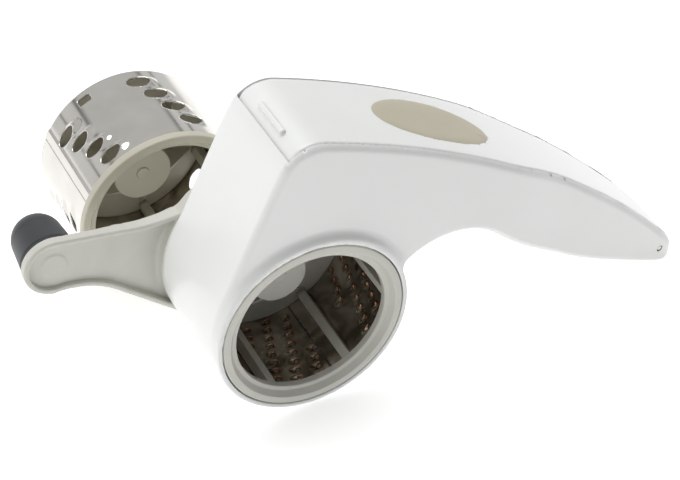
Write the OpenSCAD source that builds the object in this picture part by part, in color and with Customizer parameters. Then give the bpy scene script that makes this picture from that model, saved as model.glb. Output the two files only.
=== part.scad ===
// Rotary cheese grater: white body with a drum housing, a leaning hopper and a hollow handle,
// a press arm hinged at the handle's tip, a crank, and two snap-on grating drums.
// Millimetres. Drawn about the drum's axis, then set down with the base of the whole set at z = 0.

/* [Body] */
// Outer radius of the drum housing
housing_r = 36; // [35.8:0.1:36.4]
// Length of the drum housing, front to back
housing_len = 48; // [47.5:0.1:49]
// Wall thickness of the white mouldings
wall = 1.8; // [1.6:0.1:1.9]
// Half of the body's width at the hopper
body_half_w = 21.8; // [21:0.1:22.5]
// Half of the body's width at the grip
grip_half_w = 15.4; // [14.5:0.1:16]
// Lean of the hopper's front wall from upright, degrees
hopper_lean = 25.3; // [24.5:0.1:26]
// Distance of the hopper's front wall from the drum's axis
hopper_dist = 38; // [37.6:0.1:38.4]

/* [Lid] */
// Radius of the long curve along the back of the handle
back_curve_r = 340; // [335:1:345]
// Thickness of the lid's top
lid_t = 2.2; // [2:0.1:2.4]
// Gap around the lid
lid_gap = 0.45; // [0.4:0.05:0.5]
// Half length of the grip pad
pad_half_l = 22; // [20:0.5:23]
// Half width of the grip pad
pad_half_w = 12.5; // [11:0.5:13]
// Radius of the hinge pin
pin_r = 1; // [0.9:0.05:1.1]

/* [Drums] */
// Outer radius of a drum's front ring
ring_r = 33.8; // [33.6:0.1:33.8]
// Inner radius of a drum's front ring
ring_hole_r = 28; // [27.5:0.1:28.2]
// Outer radius of the rolled steel sheet
sheet_r = 32.9; // [32.7:0.1:32.9]
// Thickness of the steel sheet
sheet_t = 0.5; // [0.4:0.05:0.6]
// Length of a drum, front to back
drum_len = 45.5; // [45:0.1:45.6]
// Radius of the hub in the drum
hub_r = 10.4; // [10:0.1:11]
// Depth of the hub's front disc behind the drum's front
hub_y = 28; // [27:0.5:29]
// Number of long struts in a drum
struts = 6; // [5:1:6]
// Width of a strut
strut_w = 3.4; // [3:0.1:4]
// Number of columns of rasp holes around the drum
rasp_cols = 26; // [23:1:26]
// Distance between rasp holes along the drum
rasp_pitch = 4.2; // [4.1:0.1:4.3]
// Radius of a rasp hole
rasp_hole_r = 1.1; // [0.9:0.1:1.2]
// Length of a slicing slot around the drum
slot_l = 9; // [8:0.5:9.5]
// Width of a slicing slot
slot_w = 6; // [5:0.5:6.5]

/* [Crank] */
// Distance of the knob's axis from the drum's axis
crank_len = 75.4; // [74:0.2:77]
// Angle of the crank from +X towards +Z, degrees
crank_angle = 168; // [165:1:171]
// Radius of the crank's round end
crank_end_r = 11; // [10.5:0.1:11.5]
// Radius of the crank's hub
crank_hub_r = 35.6; // [35.2:0.1:36]
// Side of the square drive
drive_w = 9; // [8.8:0.1:9.2]
// Radius of the knob at its base
knob_r = 10.6; // [10:0.1:10.8]
// Radius of the knob at its dome
knob_dome_r = 9.4; // [9:0.1:9.6]
// Length of the knob
knob_len = 22; // [21:0.5:23]

/* [Spare drum] */
// Distance of the spare drum's axis from the body's drum axis, to the left
spare_dx = 19.5; // [18:0.5:21]
// Distance of the spare drum's front behind the housing's front
spare_y = 79.2; // [78.5:0.1:82]

/* [Hidden] */
$fn = 96;
eps = 0.01;
mid_y = 24;                       // the body's plane of symmetry
bore_r = ring_r + 0.4;            // running clearance of the drum in its housing
hinge = [149.5, -28];             // the hinge pin, x and z
back_c = [-101.5, -249];          // centre of the back's long curve
belly_c = [222, 172];             // centre of the handle's underside curve
belly_r = 219.4;
arch_x = 54;                      // the finger arch between housing and handle
arch_r = 27;
corner_r = 14;                    // the hopper's rounded top front corner
nose_r = 5;                       // the handle's tip
nose_x = 160;                     // how far the tip reaches
grip_x = 140;                     // where the tip starts to round off in plan
neck_x = [76, 104];               // where the body narrows from hopper to grip
neck_w = 17.6;                    // half width just behind the neck
blend_a = 205;                    // where the hopper's foot meets the housing, degrees
hopper_in_r = 143;                // radius about the hinge of the hopper's rear wall
lid_front_r = 184.6;              // radius about the hinge of the lid's front edge
knuckle_r = 5.6;                  // the lid's hinge barrel
crank_y = 49;                     // front face of the crank's rim
crank_hub_y = [48.6, 54];
crank_t = 3.6;                    // depth of the crank at its end
crank_floor = 2;                  // floor thickness of the crank's channel
crank_rim = 1.9;
plate_t = 2;                      // the drum's back plate
socket_gap = 0.25;                // clearance of the square drive, each side
soft_t = 1.4;                     // soft cover of the knob
axle_r = 2.5;
axle_l = 14;
axle_head_r = 3.4;
boss_r = 4.7;
spigot_root_r = 6.8;              // round root of the square drive in the crank's hub
low_a = 62;                       // where the arm's lower edge leaves the hub, degrees
waist_r = 30;                     // hollow curve of the arm's lower edge
top_r = 60;                       // hollow curve of the arm's upper edge
top_c = [54, -72.7];
pad_x = 55.5;
pad_t = 1;
pad_proud = 0.4;
skirt_d = 6;                      // the lid's stiffening skirt
skirt_t = 1.4;
skirt_in = 1.5;                   // set in, so that it clears the neck as the lid opens
knuckle_w = 12;                   // half length of the lid's hinge barrel
knuckle_clear_r = 9;              // the lid is no wider than its barrel within this of the pin
nose_top = -1.5;                  // top edge of the closed nose, from the pin's height
over_arch = [75, 28];             // a point between the lid and the finger arch
thumb_x = -4.4;
thumb_z = 71.6;
thumb_l = 18;
presser_half_w = 19.2;
presser_r = 182.8;
presser_t = 1.8;
cap_t = 1.5;
cap_dot_r = 2.4;
lip_y = 2.2;                      // depth of the ring's inner step
seat_y = 3.2;                     // where the steel sheet starts behind the ring's front
strut_a = -58.5;                  // angle of the first strut
spare_turn = -21;                 // the spare drum lies turned by this
spare_hub = [11.3, 26.3];         // radius of its hub's disc, and its depth behind the ring
rib_t = 1.2;
rasp_rows = 9;
rasp_y0 = 5.6;
rasp_a0 = -70.8;                  // angle of the sheet's seam at the front
rasp_twist = 0.546;               // slant of the rasp columns, degrees per millimetre
slot_groups = 6;
slots_each = 4;
slot_y0 = 13;
slot_a0 = 63.3;
slot_step_a = 6.1;
slot_pitch = 8.4;

// ---- small geometry helpers ----
function unit(v) = v / norm(v);
function angle_of(v) = atan2(v[1], v[0]);
function arc(c, r, a0, a1, n) =
    [for (k = [0:n]) c + r * [cos(a0 + (a1 - a0) * k / n), sin(a0 + (a1 - a0) * k / n)]];
// the point at distance ra from a and rb from b, on the right of the way from a to b
function meet(a, ra, b, rb) =
    let (d = norm(b - a), s = (ra * ra - rb * rb + d * d) / (2 * d),
        h = sqrt(ra * ra - s * s), u = unit(b - a))
    a + s * u + h * [u[1], -u[0]];

wall_n = [-cos(hopper_lean), sin(hopper_lean)];   // outward normal of the hopper's front
wall_a = 180 - hopper_lean;
// corner circle: touches the front wall and the back curve from inside
corner_off = (hopper_dist - corner_r) - wall_n * back_c;
corner_t = sqrt(pow(back_curve_r - corner_r, 2) - corner_off * corner_off);
corner_c = (hopper_dist - corner_r) * wall_n
    + (corner_t + back_c * [wall_n[1], -wall_n[0]]) * [wall_n[1], -wall_n[0]];
nose_c = meet(back_c, back_curve_r - nose_r, belly_c, belly_r - nose_r);
arch_c = [arch_x, belly_c[1] - sqrt(pow(belly_r + arch_r, 2) - pow(belly_c[0] - arch_x, 2))];
arch_foot = meet(arch_c, arch_r, [0, 0], housing_r);
// blend circle from the hopper's front wall to the housing
blend_k = cos(blend_a - wall_a);
blend_r = (hopper_dist - housing_r * blend_k) / (1 - blend_k);
blend_c = -(blend_r - housing_r) * [cos(blend_a), sin(blend_a)];

// the whole set stands on z = 0 with its box centred on the origin
spare_z = -housing_r + ring_r;
x_span = [crank_len * cos(crank_angle) - crank_end_r, nose_c[0] + nose_r];
y_span = [0, spare_y + drum_len];
seat = [-(x_span[0] + x_span[1]) / 2, -(y_span[0] + y_span[1]) / 2, housing_r];

// side outline of the body, x along the first axis and z along the second, drawn in by i
function side_outline(i) = concat(
    arc(blend_c, blend_r - i, blend_a, wall_a, 10),
    arc(corner_c, corner_r - i, wall_a, angle_of(corner_c - back_c), 14),
    arc(back_c, back_curve_r - i, angle_of(corner_c - back_c), angle_of(nose_c - back_c), 34),
    arc(nose_c, nose_r - i, angle_of(nose_c - back_c), angle_of(nose_c - belly_c), 12),
    arc(belly_c, belly_r - i, angle_of(nose_c - belly_c) + 360, angle_of(arch_c - belly_c) + 360, 16),
    arc(arch_c, arch_r + i, angle_of(belly_c - arch_c), angle_of(arch_foot - arch_c) + 8, 14),
    [[0, -10]]);

// half width of the body in plan
function ease(t) = let (u = min(1, max(0, t))) u * u * (3 - 2 * u);
function half_w(x) = body_half_w
    - (body_half_w - neck_w) * ease((x - neck_x[0]) / (neck_x[1] - neck_x[0]))
    - (neck_w - grip_half_w) * ease((x - neck_x[1]) / (grip_x - neck_x[1]));
function plan_side(i) = concat(
    [[-45, body_half_w - i]],
    [for (x = [neck_x[0]:4:neck_x[1]]) [x, half_w(x) - i]],
    [for (x = [112:8:grip_x]) [x, half_w(x) - i]],
    [for (t = [9:9:90]) [grip_x + (nose_x - i - grip_x) * sin(t),
        (grip_half_w - i) * pow(max(0, 1 - pow(sin(t), 5)), 0.5)]]);
module plan2(i) {
    half = plan_side(i);
    polygon(concat(half, [for (k = [len(half) - 2:-1:0]) [half[k][0], -half[k][1]]]));
}

// ---- placing ----
// an outline in x and z, pushed along y from y0 to y1
module slab(y0, y1) translate([0, y1, 0]) rotate([90, 0, 0]) linear_extrude(y1 - y0) children();
// a round bar along y
module bar(p, r, y0, y1) translate([p[0], y0, p[1]]) rotate([-90, 0, 0]) cylinder(r = r, h = y1 - y0);
// a tall block over the body's plan drawn in by i
module plan_block(i) translate([0, mid_y, -60]) linear_extrude(160) plan2(i);
// the body's outline drawn in by i_side, and in plan by i_plan
module body_form(i_side, i_plan) intersection() {
    slab(-5, 60) polygon(side_outline(i_side));
    plan_block(i_plan);
}
// everything nearer to the hinge than r
module near_hinge(r) bar(hinge, r, -10, 60);

// the skin between two depths under the body's back, from the hopper's corner to the hinge
module skin(i0, i1, half_inset) intersection() {
    slab(-5, 60) difference() {
        polygon(side_outline(i0));
        polygon(side_outline(i1));
    }
    slab(-5, 60) polygon([corner_c, corner_c + 60 * [cos(130), sin(130)], [100, 150],
        hinge + 90 * unit(hinge - back_c), hinge, over_arch]);
    plan_block(half_inset);
}
module put() translate(seat) children();

// ---- body ----
module body_shell() color("whitesmoke") put() difference() {
    union() {
        body_form(0, 0);
        bar([0, 0], housing_r, 0, housing_len);
    }
    // hopper, in front of its rear wall
    difference() {
        body_form(wall, wall);
        near_hinge(hopper_in_r + wall);
    }
    // hollow handle, behind it and outside the housing
    difference() {
        intersection() {
            body_form(wall, wall);
            near_hinge(hopper_in_r);
        }
        bar([0, 0], housing_r, -1, 60);
    }
    bar([0, 0], bore_r, -1, housing_len + 1);
    // seat of the lid
    intersection() {
        skin(-4, lid_t + 0.05, wall);
        near_hinge(lid_front_r + lid_gap);
    }
    // room for the lid's barrel between the two ears, behind the closed nose
    bar(hinge, knuckle_r + lid_gap, mid_y - knuckle_w - lid_gap, mid_y + knuckle_w + lid_gap);
    translate([hinge[0], mid_y - knuckle_w - lid_gap, hinge[1] + nose_top])
        cube([20, 2 * (knuckle_w + lid_gap), 20]);
    bar(hinge, pin_r, -10, 60);
}
module hinge_pin() color("silver") put()
    bar(hinge, pin_r, mid_y - grip_half_w + 0.4, mid_y + grip_half_w - 0.4);

// ---- lid ----
module pad_oval() translate([pad_x, mid_y, -10]) linear_extrude(120)
    polygon([for (a = [0:5:355]) [pad_half_l * cos(a), pad_half_w * sin(a)]]);
module lid_shell() color("white") put() difference() {
    union() {
        intersection() {
            skin(0, lid_t, wall + lid_gap);
            near_hinge(lid_front_r);
        }
        // stiffening skirt along the handle
        intersection() {
            difference() {
                skin(1, skirt_d, wall + lid_gap + skirt_in);
                plan_block(wall + lid_gap + skirt_in + skirt_t);
            }
            near_hinge(hopper_in_r - 2);
        }
        bar(hinge, knuckle_r, mid_y - knuckle_w, mid_y + knuckle_w);
        // thumb bar
        translate([thumb_x, mid_y - thumb_l / 2, thumb_z]) rotate([0, -8, 0]) cube([2, thumb_l, 3]);
    }
    intersection() {
        skin(-2, pad_t, 0);
        pad_oval();
    }
    bar(hinge, pin_r + 0.06, -10, 60);
    for (s = [-1, 1]) translate([0, s * (knuckle_w + 10), 0])
        bar(hinge, knuckle_clear_r, mid_y - 10, mid_y + 10);
}
module grip_pad() color("tan") put() intersection() {
    skin(-pad_proud, pad_t, 0);
    pad_oval();
}
module presser(i) difference() {
    intersection() {
        slab(mid_y - presser_half_w + i, mid_y + presser_half_w - i)
            polygon(side_outline(lid_t));
        near_hinge(presser_r - i);
    }
    near_hinge(hopper_in_r + wall + 0.6 + i);
    bar([0, 0], housing_r + i, -1, 60);
}
module pusher_block() color("white") put() difference() {
    presser(0);
    presser(presser_t);
}

// ---- crank, drawn with its arm along +X and turned about the drum's axis ----
low_n = [cos(low_a), sin(low_a)];
arm_end = [crank_len, 0];
low_off = crank_hub_r + waist_r - low_n * arm_end;
low_c = (crank_hub_r + waist_r) * low_n
    + (arm_end * [low_n[1], -low_n[0]]
       - sqrt(pow(waist_r + crank_end_r, 2) - low_off * low_off)) * [low_n[1], -low_n[0]];
function arm_outline(i) = concat(
    [[24, -16 + i]],
    arc(top_c, top_r + i, 112, 90, 6),
    arc(arm_end, crank_end_r - i, -86, angle_of(low_c - arm_end), 24),
    arc(low_c, waist_r + i, angle_of(arm_end - low_c), angle_of(-low_n), 12),
    [(crank_hub_r - i) * low_n, [10, 10]]);
// everything in front of a face that slopes from the hub down to the arm's flat round end
module in_front_of(y_hub, y_end) translate([0, 0, -60]) linear_extrude(120)
    polygon([[-60, 30], [110, 30], [110, y_end], [crank_len - crank_end_r, y_end],
        [crank_hub_r, y_hub], [-60, y_hub]]);
module crank_put() put() rotate([0, -crank_angle, 0]) children();
module crank_arm() color("gainsboro") crank_put() difference() {
    union() {
        intersection() {
            slab(crank_y, crank_hub_y[1]) polygon(arm_outline(0));
            in_front_of(crank_hub_y[1], crank_y + crank_t);
        }
        bar([0, 0], crank_hub_r, crank_hub_y[0], crank_hub_y[1]);
        bar([0, 0], bore_r - 0.3, drum_len + 0.6, crank_hub_y[0] + 1);
    }
    // channel of the arm
    difference() {
        intersection() {
            slab(crank_y - 5, crank_hub_y[1]) polygon(arm_outline(crank_rim));
            in_front_of(crank_hub_y[1] - crank_floor, crank_y + crank_t - crank_floor);
        }
        bar([0, 0], crank_hub_r, 30, 60);
        bar(arm_end, boss_r, crank_y + 1, 60);
    }
    // hollow hub with a round boss for the drive
    difference() {
        bar([0, 0], bore_r - 0.3 - wall, 30, crank_hub_y[1] - crank_floor);
        bar([0, 0], hub_r, crank_hub_y[0], 60);
    }
    bar([0, 0], spigot_root_r, 30, crank_hub_y[1] - crank_floor);
    bar(arm_end, axle_r, 30, 70);
}
module crank_spigot() color("lightgray") put() {
    bar([0, 0], spigot_root_r, drum_len + 0.5, crank_hub_y[1] - crank_floor);
    translate([-drive_w / 2, hub_y + cap_t + 2, -drive_w / 2])
        cube([drive_w, drum_len - hub_y - cap_t - 1.5, drive_w]);
}
knob_y = crank_y + crank_t + 0.3;
// a tapered knob with a dome, shrunk by i
module knob_form(i) rotate([-90, 0, 0]) rotate_extrude()
    polygon(concat([[0, i > 0 ? -1 : 0], [knob_r - i, i > 0 ? -1 : 0]],
        arc([0, knob_len - knob_dome_r], knob_dome_r - i, 0, 90, 16)));
module at_knob() crank_put() translate([crank_len, knob_y, 0]) children();
module knob_axle() color("silver") crank_put() {
    bar(arm_end, axle_r, crank_y + 1.2, knob_y + axle_l);
    bar(arm_end, axle_head_r, knob_y + axle_l, knob_y + axle_l + 1.5);
}
module knob_core() color("dimgray") at_knob() difference() {
    intersection() {
        knob_form(soft_t);
        bar([0, 0], 20, 0, 40);
    }
    bar([0, 0], axle_r + 0.06, -1, axle_l + 1);
    bar([0, 0], axle_head_r + 0.4, axle_l - 0.2, axle_l + 2.2);
}
module knob_grip() color("black") at_knob() difference() {
    knob_form(0);
    knob_form(soft_t);
}

// ---- drums, each with its front ring at y = 0 ----
module cage(turn) {
    rotate([-90, 0, 0]) rotate_extrude() polygon([[ring_hole_r, lip_y], [ring_hole_r + 1.8, lip_y],
        [ring_hole_r + 3, 0], [ring_r - 0.4, 0], [ring_r, 0.4], [ring_r, seat_y],
        [sheet_r - sheet_t, seat_y], [sheet_r - sheet_t, seat_y + 1.8], [ring_hole_r, seat_y + 1.8]]);
    for (k = [0:struts - 1]) rotate([0, -turn - k * 360 / struts, 0])
        translate([ring_hole_r + 0.4, lip_y, -strut_w / 2])
            cube([sheet_r - sheet_t - ring_hole_r - 0.7, drum_len - plate_t - lip_y, strut_w]);
}
module carrier(turn, hub_r, hub_y) difference() {
    union() {
        bar([0, 0], sheet_r - sheet_t - 0.05, drum_len - plate_t, drum_len);
        bar([0, 0], hub_r - 0.3, hub_y + cap_t, drum_len - eps);
        // ribs from the hub down to the plate, one to each strut
        for (k = [0:struts - 1]) rotate([0, -turn - k * 360 / struts, 0])
            translate([0, 0, -rib_t / 2]) linear_extrude(rib_t)
                polygon([[hub_r - 1, hub_y + cap_t], [hub_r, hub_y + cap_t],
                    [ring_hole_r, drum_len - plate_t - 0.6], [ring_hole_r, drum_len - 1],
                    [hub_r - 1, drum_len - 1]]);
    }
    translate([-drive_w / 2 - socket_gap, hub_y + cap_t + 1.5, -drive_w / 2 - socket_gap])
        cube([drive_w + 2 * socket_gap, 30, drive_w + 2 * socket_gap]);
}
module hub_cap(hub_r, hub_y) {
    bar([0, 0], hub_r, hub_y, hub_y + cap_t);
    bar([0, 0], cap_dot_r, hub_y - 0.4, hub_y + cap_t);
}
module sheet_tube() difference() {
    bar([0, 0], sheet_r, seat_y, drum_len);
    bar([0, 0], sheet_r - sheet_t, seat_y - 1, drum_len + 1);
}
// cuts children through the sheet at distance y along the drum and angle a
module through_sheet(y, a) rotate([0, -a, 0]) translate([sheet_r - 3, y, 0])
    rotate([0, 90, 0]) children();
module rasp_holes() for (k = [1:rasp_cols - 1]) for (n = [0:rasp_rows - 1])
    if (!(k == 1 && n < rasp_rows / 2) && !(k == rasp_cols - 1 && n > rasp_rows / 2 - 1))
        let (y = rasp_y0 + rasp_pitch * (n + (k % 2) / 2))
            through_sheet(y, rasp_a0 + k * 360 / rasp_cols + rasp_twist * y)
                cylinder(r = rasp_hole_r, h = 5, $fn = 24);
module slot_hole() linear_extrude(5)
    polygon([for (a = [0:12:348]) [slot_l / 2 * cos(a), slot_w / 2 * sin(a)]]);
module slicing_slots() {
    for (g = [0:slot_groups - 1]) for (n = [0:slots_each - 1])
        let (y = slot_y0 - (g % 2) * slot_pitch / 2 + slot_pitch * n)
            through_sheet(y, slot_a0 + g * 360 / slot_groups + slot_step_a * n) slot_hole();
}
module rasp_cage() color("gainsboro") put() cage(strut_a);
module rasp_carrier() color("gainsboro") put() carrier(strut_a, hub_r, hub_y);
module rasp_hub_cap() color("gainsboro") put() hub_cap(hub_r, hub_y);
module rasp_sheet() color("silver") put() difference() {
    sheet_tube();
    rasp_holes();
}
module spare_put() put() translate([-spare_dx, spare_y, spare_z]) children();
module slicing_cage() color("beige") spare_put() cage(strut_a + spare_turn);
module slicing_carrier() color("beige") spare_put()
    carrier(strut_a + spare_turn, spare_hub[0], spare_hub[1]);
module slicing_hub_cap() color("beige") spare_put() hub_cap(spare_hub[0], spare_hub[1]);
module slicing_sheet() color("silver") spare_put() difference() {
    sheet_tube();
    slicing_slots();
}

body_shell();
hinge_pin();
lid_shell();
grip_pad();
pusher_block();
crank_arm();
crank_spigot();
knob_axle();
knob_core();
knob_grip();
rasp_cage();
rasp_carrier();
rasp_hub_cap();
rasp_sheet();
slicing_cage();
slicing_carrier();
slicing_hub_cap();
slicing_sheet();
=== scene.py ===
import math

import bmesh
import bpy
import numpy as np
from mathutils import Matrix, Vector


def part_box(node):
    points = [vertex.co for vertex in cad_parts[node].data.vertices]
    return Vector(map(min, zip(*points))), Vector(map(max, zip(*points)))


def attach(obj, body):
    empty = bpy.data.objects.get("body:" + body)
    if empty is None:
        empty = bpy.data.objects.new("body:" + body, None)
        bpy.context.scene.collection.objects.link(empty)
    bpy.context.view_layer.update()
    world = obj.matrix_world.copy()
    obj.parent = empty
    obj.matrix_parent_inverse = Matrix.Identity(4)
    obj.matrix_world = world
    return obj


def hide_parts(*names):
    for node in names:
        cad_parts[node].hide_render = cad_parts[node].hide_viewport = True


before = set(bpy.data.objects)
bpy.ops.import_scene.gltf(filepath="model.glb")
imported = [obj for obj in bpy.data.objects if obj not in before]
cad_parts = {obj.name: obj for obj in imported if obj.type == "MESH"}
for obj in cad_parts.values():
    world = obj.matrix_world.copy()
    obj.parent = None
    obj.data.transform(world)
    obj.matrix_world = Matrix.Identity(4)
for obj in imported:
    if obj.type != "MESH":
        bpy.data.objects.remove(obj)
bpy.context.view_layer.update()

# ---- Body shell ----
# The white body is one thin ABS moulding: a round drum housing, a leaning hopper over it and a
# hollow handle that ends in two ears and a closed nose. Millimetres about the drum's axis, with
# y = 0 at the open mouth, are used for every shape here and turned to metres at the end.
ring_lo, ring_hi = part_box("rasp_cage")
drum_axis = np.array([(ring_lo.x + ring_hi.x) / 2, ring_lo.y, (ring_lo.z + ring_hi.z) / 2])
pin_lo, pin_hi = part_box("hinge_pin")
pin_at = 1000 * ((np.array(pin_lo) + np.array(pin_hi)) / 2 - drum_axis)

mid_y = 24.0              # the body's plane of symmetry
housing_r = 36.0
housing_len = 48.0
wall = 1.8
bore_r = 34.2
hopper_lean = 25.3        # degrees from upright
hopper_dist = 38.0
corner_r = 14.0
nose_r = 5.0
arch_x, arch_r = 54.0, 27.0
back_c, back_r = np.array([-101.5, -249.0]), 340.0
belly_c, belly_r = np.array([222.0, 172.0]), 219.4
blend_angle = 205.0
body_half_w, neck_half_w, grip_half_w = 21.8, 17.6, 15.4
neck_x, grip_x, nose_x = (76.0, 104.0), 140.0, 160.0
partition_r = 143.0       # hopper's rear wall, about the hinge pin
lid_front_r = 184.6       # lid's front edge, about the hinge pin
lid_t = 2.2
lid_gap = 0.45
knuckle_r = 5.6
knuckle_half_l = 12.0
nose_top = -1.5
edge_r = 2.6              # rounding of the moulding's long edges
rim_edge_r = 0.9          # rounding of the housing's flat ends
bore_edge_r = 0.4
inner_edge_r = 1.0
seat_reach = 9.0          # how far under the back the lid's seat goes
seat_slack = 0.05
pin_hole_r = 1.3
flare_r = 3.6             # hollow flare from the side out to the housing's lip


def unit(v):
    """A vector divided by its length."""
    return v / np.linalg.norm(v)


def heading(v):
    """A flat vector's angle in degrees, from +x towards +z."""
    return math.degrees(math.atan2(v[1], v[0]))


def meet(a, from_a, b, from_b):
    """The point from_a away from a and from_b away from b, on the right of the way from a to b."""
    gap = np.linalg.norm(b - a)
    along = (from_a**2 - from_b**2 + gap**2) / (2 * gap)
    u = unit(b - a)
    return a + along * u + math.sqrt(from_a**2 - along**2) * np.array([u[1], -u[0]])


hinge = pin_at[[0, 2]]
front_a = 180 - hopper_lean
front_n = np.array([math.cos(math.radians(front_a)), math.sin(math.radians(front_a))])
front_t = np.array([front_n[1], -front_n[0]])
corner_off = hopper_dist - corner_r - front_n @ back_c
corner_c = ((hopper_dist - corner_r) * front_n
            + (math.sqrt((back_r - corner_r) ** 2 - corner_off**2) + back_c @ front_t) * front_t)
nose_c = meet(back_c, back_r - nose_r, belly_c, belly_r - nose_r)
arch_c = np.array([arch_x, belly_c[1] - math.sqrt((belly_r + arch_r) ** 2 - (belly_c[0] - arch_x) ** 2)])
arch_foot = meet(arch_c, arch_r, np.zeros(2), housing_r)
blend_k = math.cos(math.radians(blend_angle - front_a))
blend_r = (hopper_dist - housing_r * blend_k) / (1 - blend_k)
blend_u = np.array([math.cos(math.radians(blend_angle)), math.sin(math.radians(blend_angle))])
blend_c = -(blend_r - housing_r) * blend_u
# centre, radius, first and last heading, and 1 where the outline bulges or -1 where it is hollow
outline_arcs = [
    (blend_c, blend_r, front_a, blend_angle, 1),
    (corner_c, corner_r, heading(corner_c - back_c), front_a, 1),
    (back_c, back_r, heading(nose_c - back_c), heading(corner_c - back_c), 1),
    (nose_c, nose_r, heading(nose_c - belly_c), heading(nose_c - back_c), 1),
    (belly_c, belly_r, heading(arch_c - belly_c), heading(nose_c - belly_c), 1),
    (arch_c, arch_r, heading(belly_c - arch_c), 250, -1),
]
nowhere = 1e3              # longer than any distance on the object


def side_distance(x, z):
    """Distance from the body's side outline, positive outside. The outline is a chain of arcs and
    one straight, so the nearest of them whose wedge holds the point gives the distance."""
    x, z = np.broadcast_arrays(x, z)
    t = x * front_t[0] + z * front_t[1]
    t_lo, t_hi = sorted((blend_c @ front_t, corner_c @ front_t))
    best = np.where((t >= t_lo) & (t <= t_hi), x * front_n[0] + z * front_n[1] - hopper_dist, nowhere)
    for centre, radius, start, end, bulge in outline_arcs:
        dx, dz = x - centre[0], z - centre[1]
        turn = np.mod(np.degrees(np.arctan2(dz, dx)) - start, 360)
        d = np.where(turn <= (end - start) % 360, bulge * (np.hypot(dx, dz) - radius), nowhere)
        best = np.where(np.abs(d) < np.abs(best), d, best)
    # inside the housing the outline is closed by three straight lines
    floor = np.where(x < 0, 0.16 * x - 10, np.minimum(0.6 * x - 10, arch_foot[1]))
    return np.where(x < arch_x, np.maximum(best, floor - z), best)


def smooth(t):
    """A step from 0 to 1 with level ends, t^2 (3 - 2 t)."""
    t = np.clip(t, 0, 1)
    return t * t * (3 - 2 * t)


def half_width(x):
    """Half width of the body in plan: two smooth steps, down at the neck and down to the grip."""
    return (body_half_w - (body_half_w - neck_half_w) * smooth((x - neck_x[0]) / (neck_x[1] - neck_x[0]))
            - (neck_half_w - grip_half_w) * smooth((x - neck_x[1]) / (grip_x - neck_x[1])))


def plan_distance(x, y):
    """Distance from the body's sides in plan, positive outside: the half width, and past the grip
    a round end, (aside / half width)^2 + reach^5 = 1, divided by its slope to make it a distance."""
    aside = np.abs(y - mid_y)
    reach = np.clip((x - grip_x) / (nose_x - grip_x), 0, 1.6)
    slope = np.hypot(2 * aside / grip_half_w**2, 5 * reach**4 / (nose_x - grip_x)) + 1e-3
    round_end = ((aside / grip_half_w) ** 2 + reach**5 - 1) / slope
    return np.where(x > grip_x, round_end, aside - half_width(x))


def common(*parts):
    """What is inside every part: the largest of their distances."""
    out = parts[0]
    for part in parts[1:]:
        out = np.maximum(out, part)
    return out


def cut(a, b, r):
    """What is inside both a and b, with the edge between them rounded by r."""
    return np.minimum(np.maximum(a, b), -r) + np.hypot(np.maximum(a + r, 0), np.maximum(b + r, 0))


def join(a, b, r):
    """What is inside a or b, with the hollow between them filled by a fillet of radius r."""
    return np.maximum(np.minimum(a, b), r) - np.hypot(np.maximum(r - a, 0), np.maximum(r - b, 0))


def about(centre, x, z):
    """Distance from a centre in the side view."""
    return np.hypot(x - centre[0], z - centre[1])


back_n = unit(hinge - back_c)
back_t = np.array([back_n[1], -back_n[0]])


def past_hinge(x, z):
    """How far a point lies beyond the hinge pin, along the back."""
    return (x - hinge[0]) * back_t[0] + (z - hinge[1]) * back_t[1]


def body_field(x, y, z):
    """Distance from the moulding: outline and plan cut with rounded edges, flared out to the
    housing, less the hopper, the hollow handle, the bore, the lid's seat and barrel room."""
    side, plan = side_distance(x, z), plan_distance(x, y)
    r = np.hypot(x, z)
    flared = cut(join(plan, r - housing_r, flare_r), side, edge_r)
    outside = cut(np.minimum(flared, r - housing_r), np.abs(y - mid_y) - housing_len / 2, rim_edge_r)
    inner = cut(side + wall, plan + wall, inner_edge_r)
    from_pin = about(hinge, x, z)
    hopper = common(inner, partition_r + wall - from_pin)
    handle = common(inner, from_pin - partition_r, housing_r - r)
    back = about(back_c, x, z) - back_r
    seat = common(-(side + lid_t + seat_slack), plan + wall, from_pin - lid_front_r - lid_gap,
                  -(back + seat_reach), past_hinge(x, z))
    aside = np.abs(y - mid_y) - knuckle_half_l - lid_gap
    barrel = common(from_pin - knuckle_r - lid_gap, aside)
    above_nose = common(hinge[0] - x, hinge[1] + nose_top - z, aside)
    pin_hole = from_pin - pin_hole_r
    hollow = np.minimum(np.minimum(hopper, handle), np.minimum(np.minimum(barrel, above_nose), pin_hole))
    return common(cut(outside, bore_r - r, bore_edge_r), -hollow, -seat)


def slope_of(field, p, step=0.02):
    """The field's slope at each point, from its values a step to either side."""
    out = np.empty_like(p)
    for k in range(3):
        ahead, behind = p.copy(), p.copy()
        ahead[:, k] += step
        behind[:, k] -= step
        out[:, k] = (field(*ahead.T) - field(*behind.T)) / (2 * step)
    return out


def directions(v):
    """Each row of v as a unit vector."""
    return v / np.maximum(np.linalg.norm(v, axis=1), 1e-9)[:, None]


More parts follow.
